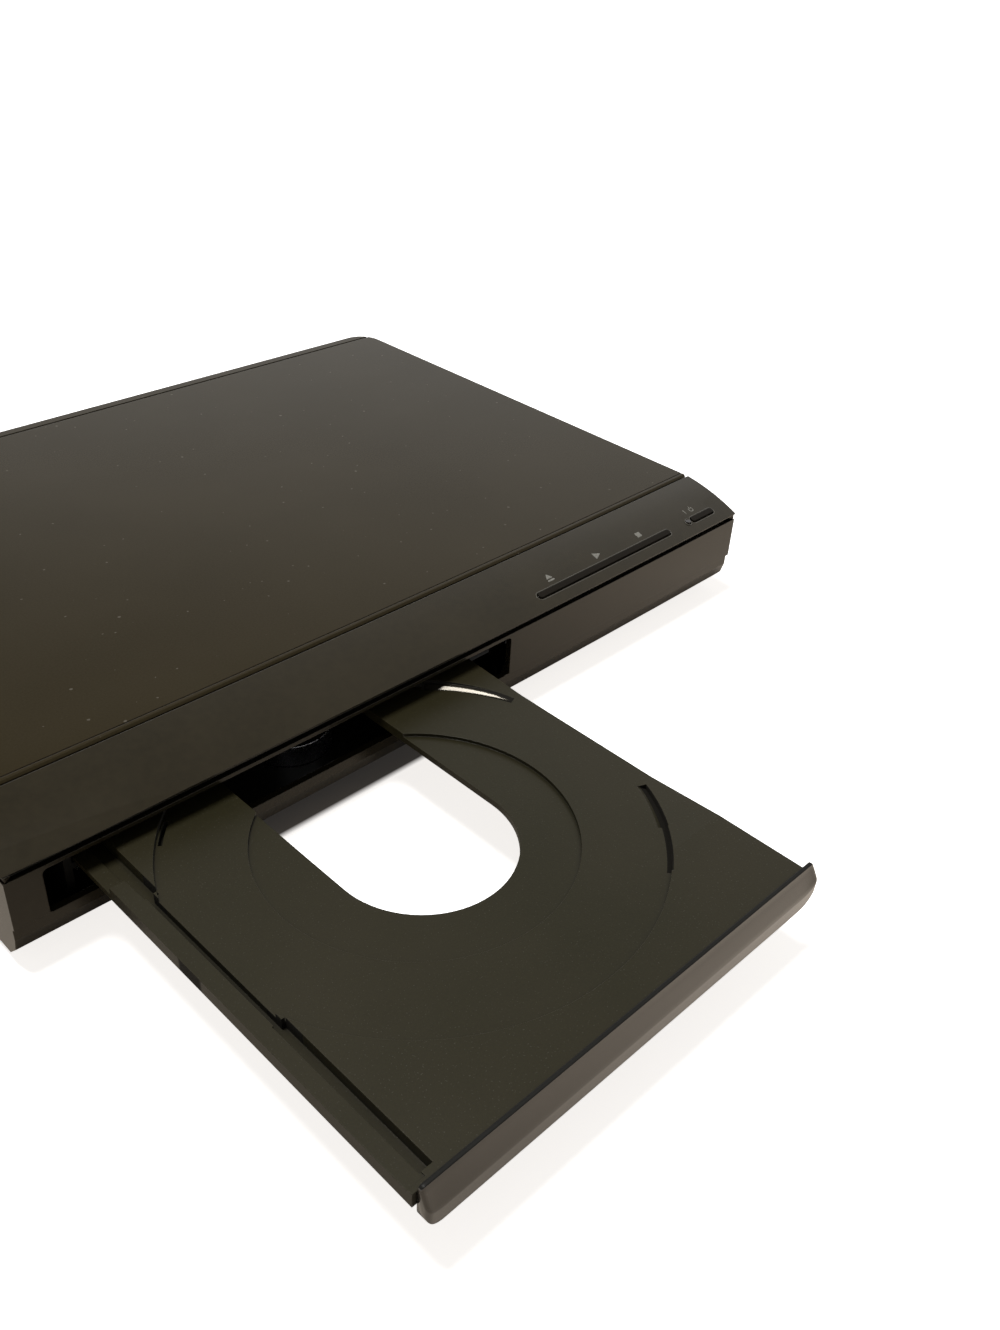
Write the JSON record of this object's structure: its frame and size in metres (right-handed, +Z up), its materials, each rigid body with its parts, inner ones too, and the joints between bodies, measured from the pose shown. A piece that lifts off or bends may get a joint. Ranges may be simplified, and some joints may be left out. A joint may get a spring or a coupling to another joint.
{
  "type": "dvd player with tray",
  "caption": "Slim disc player with a sloped key strip along its front, its disc tray run out, and the loader, pickup and drive gears inside.",
  "frame": {"origin": "centre of the footprint with the tray open, on the table", "axes": "X runs left to right seen from the front, Y from the front to the rear, Z up"},
  "size_m": [0.27, 0.3252, 0.0385],
  "materials": {
    "cover_black": "fine matte powder coat",
    "panel_black": "satin to gloss moulding",
    "base_metal": "matte sheet steel",
    "rubber_black": "matte",
    "lens_clear": "translucent light guide",
    "board_green": "solder mask on laminate",
    "part_black": "moulded",
    "cable_white": "flat flexible cable",
    "tray_grey": "fine grained moulding",
    "loader_black": "moulded",
    "bright_steel": "plated sheet",
    "white_acetal": "moulded acetal",
    "lens_glass": "coated lens",
    "heatsink_aluminium": "extruded",
    "winding_yellow": "taped winding",
    "brass": "turned",
    "socket_steel": "plated"
  },
  "bodies": {
    "housing": {"front_panel": "panel_black", "top_cover": "cover_black", "bottom_chassis": "base_metal", "rear_panel": "base_metal", "feet": "rubber_black", "foot_pads": "rubber_black", "power_lens": "lens_clear", "front_board": "board_green", "key_switches": "part_black", "front_cable": "cable_white", "loader_frame": "loader_black", "tray_guides": "loader_black", "clamp_bridge": "bright_steel", "loading_motor": "bright_steel", "drive_belt": "rubber_black", "main_board": "board_green", "main_chips": "part_black", "chip_heatsink": "heatsink_aluminium", "power_board": "board_green", "transformer": "winding_yellow", "capacitors": "part_black", "heatsink": "heatsink_aluminium", "fuse": "cable_white", "power_inlet": "part_black", "inlet_pins": "brass", "av_jacks": "part_black", "jack_sleeves": "socket_steel", "jack_inserts": "cable_white", "cover_screws": "socket_steel", "loader_screws": "socket_steel"},
    "tray": {"tray": "tray_grey", "tray_front": "panel_black"},
    "clamper": {"clamper": "white_acetal", "clamper_plate": "bright_steel"},
    "traverse": {"traverse_holder": "loader_black", "dampers": "rubber_black", "pickup_deck": "bright_steel", "spindle_motor": "bright_steel", "guide_rods": "bright_steel", "sled_motor": "bright_steel"},
    "turntable": {"turntable": "part_black", "turntable_pad": "rubber_black"},
    "pickup": {"pickup_body": "part_black", "pickup_lens": "lens_glass"},
    "lead_screw": {"lead_screw": "bright_steel"},
    "cam_slider": {"cam_slider": "white_acetal"},
    "drive_gear": {"drive_gear": "white_acetal"},
    "pulley_gear": {"pulley_gear": "white_acetal"},
    "motor_pulley": {"motor_pulley": "brass"},
    "key_bar": {"key_bar": "panel_black"},
    "power_key": {"power_key": "panel_black"}
  },
  "joints": [
    {"name": "tray_slide", "type": "slide", "parent": "housing", "child": "tray", "axis": [0, 1, 0], "range_m": [0, 0.116]},
    {"name": "drive_gear_spin", "type": "hinge", "parent": "housing", "child": "drive_gear", "pos_m": [-0.0956, -0.02245, 0.014], "axis": [0, 0, -1], "range_deg": [-5, 836]},
    {"name": "pulley_gear_spin", "type": "hinge", "parent": "housing", "child": "pulley_gear", "pos_m": [-0.0732, -0.02245, 0.014], "axis": [0, 0, 1], "range_deg": [-5, 3051]},
    {"name": "motor_pulley_spin", "type": "hinge", "parent": "housing", "child": "motor_pulley", "pos_m": [-0.0416, -0.02245, 0.0189], "axis": [0, 0, 1], "range_deg": [-10, 9374]},
    {"name": "traverse_lift", "type": "hinge", "parent": "housing", "child": "traverse", "pos_m": [-0.0516, 0.11505, 0.01375], "axis": [-1, 0, 0], "range_deg": [0, 3.3]},
    {"name": "cam_slide", "type": "slide", "parent": "housing", "child": "cam_slider", "axis": [1, 0, 0], "range_m": [0, 0.016]},
    {"name": "spindle_spin", "type": "hinge", "parent": "traverse", "child": "turntable", "pos_m": [-0.0516, 0.02783, 0.01498], "axis": [0, -0.0576, 0.9983], "continuous": true},
    {"name": "pickup_feed", "type": "slide", "parent": "traverse", "child": "pickup", "axis": [0, 0.9983, 0.0576], "range_m": [0, 0.034]},
    {"name": "lead_screw_spin", "type": "hinge", "parent": "traverse", "child": "lead_screw", "pos_m": [-0.0276, 0.06522, 0.00932], "axis": [0, 0.9983, 0.0576], "range_deg": [-10, 4090]},
    {"name": "clamper_spin", "type": "hinge", "parent": "housing", "child": "clamper", "pos_m": [-0.0516, 0.02805, 0.033], "axis": [0, 0, 1], "continuous": true},
    {"name": "key_bar_press", "type": "slide", "parent": "housing", "child": "key_bar", "axis": [0, 0, -1], "range_m": [0, 0.0004], "stiffness_N_per_m": 2000},
    {"name": "power_key_press", "type": "slide", "parent": "housing", "child": "power_key", "axis": [0, 0, -1], "range_m": [0, 0.0004], "stiffness_N_per_m": 2000}
  ],
  "couplings": [
    {"joint": "drive_gear_spin", "follows": "tray_slide", "rad_per_m": 125},
    {"joint": "pulley_gear_spin", "follows": "tray_slide", "rad_per_m": 458.33},
    {"joint": "motor_pulley_spin", "follows": "tray_slide", "rad_per_m": 1409},
    {"joint": "cam_slide", "follows": "traverse_lift", "m_per_rad": 0.27769},
    {"joint": "lead_screw_spin", "follows": "pickup_feed", "rad_per_m": 2094.4}
  ]
}
